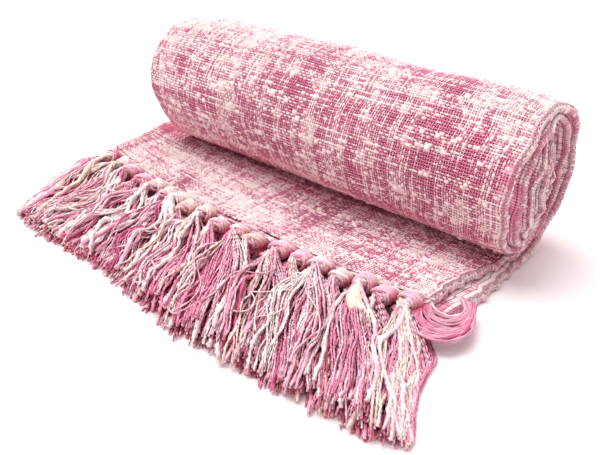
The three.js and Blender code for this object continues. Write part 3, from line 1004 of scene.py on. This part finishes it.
def lay_knot(kx, ky, kz, size, wraps):
    """The ball of an overhand knot: its loop goes round the bundle in slanting wraps."""
    width, length, height = size
    color, ply_color = yarn_colors(ROVING if random.uniform() < 0.4 else MIXED, WRAPS)
    turn = np.linspace(0, WRAP_ANGLE, WRAP_STATIONS)
    tucked = 1 - 0.45 * (1 - smoothstep(np.minimum(turn, turn[-1] - turn), 0, 0.9))
    tilt = random.uniform(0.5, 0.9) * random.choice((-1, 1))
    start = random.uniform(2.6, 5.6)
    under_wraps = WRAPS - OVER_WRAPS
    for number in range(WRAPS):
        over = number >= under_wraps
        if over:
            place = (number - under_wraps) * 0.34 - 0.3
        else:
            place = number / (under_wraps - 1) * 1.9 - 0.95
        radius = random.uniform(0.9, 1.35)
        round_off = np.sqrt(1 - (0.97 * place) ** 2) * tucked * (1.07 if over else 0.97)
        angle = start + turn + random.uniform(-0.2, 0.2)
        lean = tilt * (-0.9 if over else 0.6)
        slant = length * 0.5 * lean * np.cos(angle + 0.8 * over) * round_off
        slant = slant + place * length * 0.42
        path = np.stack([
            kx + round_off * (width / 2) * np.cos(angle),
            ky + slant,
            kz + round_off * (height / 2) * np.sin(angle),
        ], -1)
        radii = radius * (1 + 0.15 * np.sin(3 * turn + number))
        wraps.lay(
            path, radii, color[number][:WRAP_STATIONS], ply_color[number][:WRAP_STATIONS], 20.0
        )


def through_points(points, stations):
    """A smooth path through a few given points."""
    points = np.asarray(points, float)
    points = np.concatenate([2 * points[:1] - points[1:2], points, 2 * points[-1:] - points[-2:-1]])
    place = np.linspace(0, len(points) - 3, stations)
    first = np.minimum(place.astype(int), len(points) - 4)
    t = (place - first)[:, None]
    p0, p1, p2, p3 = (points[first + i] for i in range(4))
    bend = 2 * p0 - 5 * p1 + 4 * p2 - p3
    turn = 3 * p1 - p0 - 3 * p2 + p3
    return 0.5 * (2 * p1 + (p2 - p0) * t + bend * t * t + turn * t**3)


def lay_curl(pile, yarns):
    """The last bundle at the right, which hooks back up beside the cloth in nested arcs."""
    for number, share in enumerate(np.linspace(0, 1, CURL_YARNS)):
        beside = number % CURL_STRAND
        if beside == 0:
            color, ply_color = yarn_colors(FINE, CURL_STRAND)
            strand_lift = random.uniform(-2.5, 1.5)
        grown = np.clip(share + random.normal(0, 0.03) + 0.02 * (beside - 2), 0, 1)
        arc = np.array(CURL_INSIDE) * (1 - grown) + np.array(CURL_OUTSIDE) * grown
        arc[:, :2] += random.normal(0, 0.7, (len(arc), 2))
        path = through_points(arc, STATIONS)
        path[:, :2] += 0.5 * soft_noise((STATIONS, 2), (6, 1))
        radius = random.uniform(0.55, 0.95)
        ground = pile.under(path[:, :2], 1.0) + radius * 0.7
        lifted = path[:, 2] + strand_lift + random.uniform(-1.5, 0.5)
        path[:, 2] = evened(np.maximum(lifted, np.minimum(ground, 10.0)), np.ones(7) / 7)
        pile.add(path[:, :2], path[:, 2] + radius * 0.5, 0.6)
        radii = radius * (1 + 0.12 * soft_noise((1, STATIONS), (1, 3))[0])
        # Painted shade over the whole hooked bundle
        shades = color[beside] * CURL_SHADE, ply_color[beside] * CURL_SHADE
        yarns.lay(path, radii, *shades, 16.0)


def lay_strays(pile, yarns):
    """Single thin yarns that wander across their neighbours."""
    t = np.linspace(0, 1, STATIONS)
    for _ in range(STRAYS):
        x = random.uniform(0, 300)
        drift = random.uniform(-25, 75)
        reach = random.uniform(0.35, 0.95)
        begin = random.uniform(0.08, 0.35)
        phase = 2 * np.pi * (random.uniform(0.8, 2.2) * t + random.uniform())
        size = random.uniform(3, 8)
        start_y = front_edge_y(x) - 18
        stop_y = tip_y(within_tips(x + drift))
        share = np.clip(begin + reach * t, 0, 0.97)
        plan = np.stack([
            x + drift * share + size * np.sin(phase) * smoothstep(t, 0, 0.15),
            start_y + (stop_y - start_y) * share + 0.6 * size * np.cos(phase),
        ], -1)
        radius = random.uniform(0.45, 0.75)
        plan = within_sides(plan)
        heights = evened(pile.under(plan, 1.0) + radius * 0.6, np.ones(7) / 7)
        path = np.column_stack([plan, heights])
        pile.add(path[:, :2], path[:, 2] + radius * 0.5, 0.4)
        color, ply_color = yarn_colors(MIXED, 1)
        yarns.lay(path, np.full(STATIONS, radius), color[0], ply_color[0], 14.0)


def lay_edge_wefts(sheet, knots, lift, yarns):
    """The cloth's last wefts, slipped off its edge: thin white arcs between the knots."""
    color = np.tile(linear(WHITE)[:3], (STATIONS, 1))
    t = np.linspace(-0.12, 1.12, STATIONS)
    top = sheet * SHEET_STEP + SHEET + lift
    ends = [-4.0, *knots, 313.0]
    for left, right in zip(ends[:-1], ends[1:]):
        for number in range(random.randint(4, 8)):
            x = left + (right - left) * t
            slipped = 0.6 + 1.0 * number + random.uniform(-0.4, 0.4)
            hang = random.uniform(0.3, 4.0) * np.sin(np.pi * np.clip(t, 0, 1))
            y = front_edge_y(x) - slipped - hang + 0.25 * soft_noise((1, STATIONS), (1, 4))[0]
            z = top - 0.35 * hang - 0.12 * slipped + 0.3 * soft_noise((1, STATIONS), (1, 5))[0]
            radii = np.full(STATIONS, random.uniform(0.28, 0.5))
            yarns.lay(np.stack([x, y, z], -1), radii, color, color * 0.9, 12.0)


def unspun_slub(pile):
    """A lump of unspun cotton in one yarn, with its thin tails."""
    yarns = Yarns()
    cream = np.tile(linear(CREAM)[:3], (STATIONS, 1))
    for lump in SLUB_LUMPS:
        path = through_points([place for *place, _ in lump], STATIONS)
        radii = np.interp(
            np.linspace(0, 1, STATIONS), np.linspace(0, 1, len(lump)),
            [radius for *_, radius in lump],
        )
        radii *= 1 + 0.1 * soft_noise((1, STATIONS), (1, 3))[0]
        yarns.lay(path, radii, cream, cream * 0.94, 40.0)
    return yarn_mesh("unspun_slub", yarns, pile, sides=10)


def fringes(material):
    """The four fringes laid from the lowest up, each a mesh of yarns and one of knots."""
    pile = Pile()
    laid = []
    for name, sheet, knots, knot_z, size, locks in FRINGES:
        yarns, wraps = Yarns(), Yarns()
        for kx in knots:
            kx = kx + random.uniform(-1.5, 1.5)
            knot_y = lay_bundle(kx, sheet, knot_z, size, locks, pile, yarns)
            lay_knot(kx, knot_y, knot_z, size, wraps)
        if name == "fringe_lower":
            lay_curl(pile, yarns)
        if name == "fringe_top":
            lay_strays(pile, yarns)
        laid.append((name, yarns, wraps))
    loose = Yarns()
    for name, sheet, knots, *_ in FRINGES:
        if name in SLIPPED_WEFTS:
            lay_edge_wefts(sheet, knots, SLIPPED_WEFTS[name], loose)
    # Painted shade under the row of knots: the pile is raised there only for the shade
    between = np.arange(*KNOT_ROW_X)
    for slip in range(3, 19, 2):
        row = np.column_stack([between, front_edge_y(between) - slip])
        pile.add(row, KNOT_ROW_TOP, 1.0)
    pile.level()
    pieces = []
    for name, yarns, wraps in laid:
        mesh = yarn_mesh(name + "_yarns", yarns, pile)
        pieces.append(new_object(name + "_yarns", mesh, material, "fringe_yarn", name))
        mesh = yarn_mesh(name + "_knots", wraps, pile, sides=5, ref=(0, 1, 0))
        pieces.append(new_object(name + "_knots", mesh, material, "fringe_yarn"))
    mesh = yarn_mesh("loose_wefts", loose, pile)
    pieces.append(new_object("loose_wefts", mesh, material, "fringe_yarn"))
    pieces.append(new_object("unspun_slub", unspun_slub(pile), material, "fringe_yarn"))
    return pieces


# Materials

def add_node(tree, kind, links=(), values=(), **settings):
    """A shader node: its sockets' links and values as pairs by name or number, and settings."""
    node = tree.nodes.new(kind)
    for name, setting in settings.items():
        setattr(node, name, setting)
    for socket, value in values:
        node.inputs[socket].default_value = value
    for socket, source in links:
        tree.links.new(source, node.inputs[socket])
    return node


def new_material(name):
    material = bpy.data.materials.new(name)
    material.use_nodes = True
    tree = material.node_tree
    tree.nodes.clear()
    output = tree.nodes.new("ShaderNodeOutputMaterial")
    return material, tree, output


def woven_cloth():
    """Plain-woven slub cotton: rough and matt, its yarns rounded, with painted shade in the gaps
    between them.
    """
    material, tree, output = new_material("plain-woven slub cotton")
    uv = add_node(tree, "ShaderNodeUVMap", uv_map="cloth_mm").outputs["UV"]
    split = add_node(tree, "ShaderNodeSeparateXYZ", [("Vector", uv)])
    waves = []
    for axis, pitch in (("X", WARP_PITCH), ("Y", WEFT_PITCH)):
        turns = add_node(
            tree, "ShaderNodeMath", [(0, split.outputs[axis])], [(1, math.pi / pitch)],
            operation="MULTIPLY",
        )
        wave = add_node(tree, "ShaderNodeMath", [(0, turns.outputs[0])], operation="SINE")
        waves.append(wave.outputs[0])
    both = add_node(tree, "ShaderNodeMath", enumerate(waves), operation="MULTIPLY")
    height = add_node(tree, "ShaderNodeMath", [(0, both.outputs[0])], operation="ABSOLUTE")
    white = add_node(tree, "ShaderNodeAttribute", attribute_name="whiteness").outputs["Fac"]
    for stretched in ((0.5, 0.04, 1.0), (0.04, 0.5, 1.0)):  # slubs run along either yarn
        scaled = add_node(tree, "ShaderNodeMapping", [("Vector", uv)], [("Scale", stretched)])
        slubs = add_node(
            tree, "ShaderNodeTexNoise", [("Vector", scaled.outputs["Vector"])],
            [("Scale", 1.0), ("Detail", 2.0)],
        )
        centred = add_node(
            tree, "ShaderNodeMath", [(0, slubs.outputs["Fac"])], [(1, 0.5)],
            operation="SUBTRACT",
        )
        strong = add_node(
            tree, "ShaderNodeMath", [(0, centred.outputs[0])], [(1, 1.6)], operation="MULTIPLY"
        )
        white = add_node(
            tree, "ShaderNodeMath", [(0, white), (1, strong.outputs[0])], operation="ADD"
        ).outputs[0]
    colors = []
    # The second ramp is painted shade: the colour of the gaps in the weave
    for stops in (((0.3, PINK), (0.7, WHITE)), ((0.35, HOLE_SHADE_IN_PINK), (0.8, HOLE_SHADE_IN_WHITE))):
        ramp = add_node(tree, "ShaderNodeValToRGB", [("Fac", white)])
        for element, (position, color) in zip(ramp.color_ramp.elements, stops):
            element.position = position
            element.color = linear(color)
        colors.append(ramp.outputs["Color"])
    gaps = add_node(
        tree, "ShaderNodeMapRange", [("Value", height.outputs[0])],
        [("From Min", 0.02), ("From Max", 0.32)], clamp=True,
    )
    # Where the raised yarns lie on the sheet, it takes the painted shade all over
    covered = add_node(tree, "ShaderNodeAttribute", attribute_name="under_yarns")
    shown = add_node(
        tree, "ShaderNodeMath",
        [(0, gaps.outputs["Result"]), (1, covered.outputs["Fac"])], operation="SUBTRACT",
        use_clamp=True,
    )
    color = add_node(
        tree, "ShaderNodeMix", [("Factor", shown.outputs[0]), (6, colors[1]), (7, colors[0])],
        data_type="RGBA",
    )
    bump = add_node(
        tree, "ShaderNodeBump", [("Height", height.outputs[0])],
        [("Strength", 0.6), ("Distance", 0.0006)],
    )
    shader = add_node(
        tree, "ShaderNodeBsdfPrincipled",
        [("Base Color", color.outputs[2]), ("Normal", bump.outputs["Normal"])],
        [("Roughness", 0.92)],
    )
    tree.links.new(shader.outputs["BSDF"], output.inputs["Surface"])
    return material


def yarn_floats_material():
    """Soft-spun slub yarn in the weave: matt, with fine fibres along the surface."""
    material, tree, output = new_material("soft-spun slub cotton yarn")
    # yarn_tint holds each float's colour with painted shade at its foot, in the crease under the
    # roll and between the folds
    tint = add_node(tree, "ShaderNodeAttribute", attribute_name="yarn_tint")
    place = add_node(tree, "ShaderNodeTexCoord")
    fibres = add_node(  # about 1 mm apart, coarser than cotton's, so that they show
        tree, "ShaderNodeTexNoise", [("Vector", place.outputs["Object"])],
        [("Scale", 900.0), ("Detail", 2.0)],
    )
    bump = add_node(
        tree, "ShaderNodeBump", [("Height", fibres.outputs["Fac"])],
        [("Strength", 0.35), ("Distance", 0.0004)],
    )
    shader = add_node(
        tree, "ShaderNodeBsdfPrincipled",
        [("Base Color", tint.outputs["Color"]), ("Normal", bump.outputs["Normal"])],
        [("Roughness", 0.9), ("Sheen Weight", 0.15)],
    )
    tree.links.new(shader.outputs["BSDF"], output.inputs["Surface"])
    return material


def fringe_yarn_material():
    """Loosely twisted slub cotton: matt, with soft ridges where its plies go round."""
    material, tree, output = new_material("loosely twisted slub cotton yarn")
    uv = add_node(tree, "ShaderNodeUVMap", uv_map="ply_turns").outputs["UV"]
    split = add_node(tree, "ShaderNodeSeparateXYZ", [("Vector", uv)])
    turns = add_node(
        tree, "ShaderNodeMath", [(0, split.outputs["Y"]), (1, split.outputs["X"])], operation="ADD"
    )
    phase = add_node(
        tree, "ShaderNodeMath", [(0, turns.outputs[0])], [(1, 2 * math.pi)], operation="MULTIPLY"
    )
    wave = add_node(tree, "ShaderNodeMath", [(0, phase.outputs[0])], operation="SINE")
    which = add_node(
        tree, "ShaderNodeMapRange", [("Value", wave.outputs[0])],
        [("From Min", -0.8), ("From Max", 0.8)], clamp=True,
    )
    one_ply = add_node(tree, "ShaderNodeAttribute", attribute_name="yarn_color")
    other_ply = add_node(tree, "ShaderNodeAttribute", attribute_name="ply_color")
    color = add_node(
        tree, "ShaderNodeMix",
        [
            ("Factor", which.outputs["Result"]),
            (6, one_ply.outputs["Color"]), (7, other_ply.outputs["Color"]),
        ],
        data_type="RGBA",
    )
    lengthwise = add_node(
        tree, "ShaderNodeMapping", [("Vector", uv)],
        [("Scale", (FIBRES_AROUND, FIBRES_PER_TWIST, 1.0))],
    )
    fibres = add_node(
        tree, "ShaderNodeTexNoise", [("Vector", lengthwise.outputs["Vector"])],
        [("Scale", 1.0), ("Detail", 3.0)],
    )
    streaks = add_node(
        tree, "ShaderNodeMapRange", [("Value", fibres.outputs["Fac"])],
        [("From Min", 0.3), ("From Max", 0.7), ("To Min", 0.86), ("To Max", 1.1)],
    )
    streaked = add_node(
        tree, "ShaderNodeVectorMath",
        [(0, color.outputs[2]), ("Scale", streaks.outputs["Result"])], operation="SCALE",
    )
    ridge = add_node(tree, "ShaderNodeMath", [(0, wave.outputs[0])], operation="ABSOLUTE")
    relief = add_node(
        tree, "ShaderNodeMath", [(0, ridge.outputs[0]), (1, fibres.outputs["Fac"])], operation="ADD"
    )
    bump = add_node(
        tree, "ShaderNodeBump", [("Height", relief.outputs[0])],
        [("Strength", 0.6), ("Distance", 0.0005)],
    )
    shader = add_node(
        tree, "ShaderNodeBsdfPrincipled",
        [("Base Color", streaked.outputs["Vector"]), ("Normal", bump.outputs["Normal"])],
        [("Roughness", 0.9), ("Sheen Weight", 0.12)],
    )
    tree.links.new(shader.outputs["BSDF"], output.inputs["Surface"])
    return material


# Camera, light and floor

def aim_camera():
    data = bpy.data.cameras.new("camera")
    data.lens = CAMERA_LENS
    data.sensor_width = CAMERA_SENSOR
    data.sensor_fit = "HORIZONTAL"
    data.clip_end = 20
    camera = bpy.data.objects.new("camera", data)
    bpy.context.scene.collection.objects.link(camera)
    turned = Matrix.Rotation(CAMERA_AZIMUTH, 4, "Z")
    tilted = Matrix.Rotation(math.pi / 2 - CAMERA_DOWN, 4, "X")
    rolled = Matrix.Rotation(CAMERA_ROLL, 4, "Z")
    place = Matrix.Translation(Vector(to_frame(CAMERA_PLACE)))
    camera.matrix_world = place @ turned @ tilted @ rolled
    bpy.context.scene.camera = camera


def studio():
    """Soft, even studio light."""
    scene = bpy.context.scene
    world = bpy.data.worlds.new("studio")
    scene.world = world
    world.use_nodes = True
    background = world.node_tree.nodes["Background"]
    background.inputs["Color"].default_value = linear(WORLD_COLOR)
    background.inputs["Strength"].default_value = WORLD_LIGHT
    key = bpy.data.lights.new("broad overhead key", "SUN")
    key.energy = KEY_LIGHT
    key.angle = math.radians(KEY_WIDTH)
    key_object = bpy.data.objects.new("broad overhead key", key)
    scene.collection.objects.link(key_object)
    key_object.rotation_euler = Vector(KEY_FROM).to_track_quat("Z", "Y").to_euler()
    scene.view_settings.view_transform = "Standard"


def lay_floor():
    material, tree, output = new_material("matt white floor")
    shader = add_node(
        tree, "ShaderNodeBsdfPrincipled",
        values=[("Base Color", linear(FLOOR_COLOR)), ("Roughness", 0.8)],
    )
    tree.links.new(shader.outputs["BSDF"], output.inputs["Surface"])
    mesh = bpy.data.meshes.new("floor")
    plane = bmesh.new()
    bmesh.ops.create_grid(plane, x_segments=1, y_segments=1, size=6)
    plane.to_mesh(mesh)
    plane.free()
    mesh.materials.append(material)
    floor = bpy.data.objects.new("floor", mesh)
    bpy.context.scene.collection.objects.link(floor)


aim_camera()
studio()
lay_floor()
tables = weave_tables()
cloth = folded_cloth(tables, woven_cloth())
raised = yarn_floats_material()
warp = floats("throw_warp", "warp", tables, raised)
weft = floats("throw_weft", "weft", tables, raised)
fringe_pieces = fringes(fringe_yarn_material())

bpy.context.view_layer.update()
